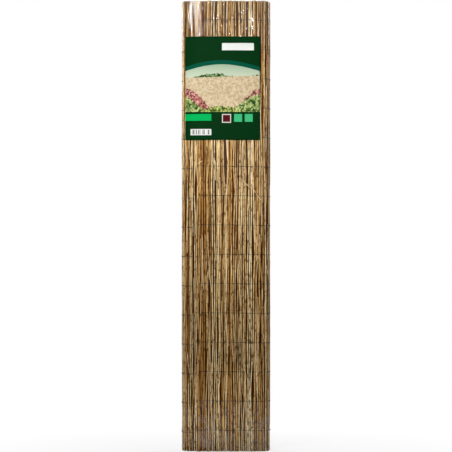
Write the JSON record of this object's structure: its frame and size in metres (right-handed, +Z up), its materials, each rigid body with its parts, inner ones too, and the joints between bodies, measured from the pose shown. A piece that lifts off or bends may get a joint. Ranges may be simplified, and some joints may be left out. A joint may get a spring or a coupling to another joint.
{
  "type": "rolled bamboo cane screen",
  "caption": "Garden screen of thin bamboo canes tied by rows of wire, rolled up flat and held closed by clear film caps at both ends, with a printed card on its front.",
  "frame": {"origin": "centre of the underside, on the surface that the roll stands on", "axes": "+Z up along the canes, -Y out of the front with the card, +X to the right as seen from the front"},
  "size_m": [0.3, 0.1548, 1.501],
  "materials": {
    "cane": "satin",
    "wire": "satin",
    "card": "satin",
    "film": "gloss"
  },
  "bodies": {
    "root": {"cane_roll": "cane", "film_cap_bottom": "film", "film_cap_top": "film", "label_card": "card", "tie_wire_01": "wire", "tie_wire_02": "wire", "tie_wire_03": "wire", "tie_wire_04": "wire", "tie_wire_05": "wire", "tie_wire_06": "wire", "tie_wire_07": "wire", "tie_wire_08": "wire", "tie_wire_09": "wire", "tie_wire_10": "wire", "tie_wire_11": "wire", "tie_wire_12": "wire", "tie_wire_13": "wire", "tie_wire_14": "wire", "tie_wire_15": "wire"}
  },
  "joints": []
}
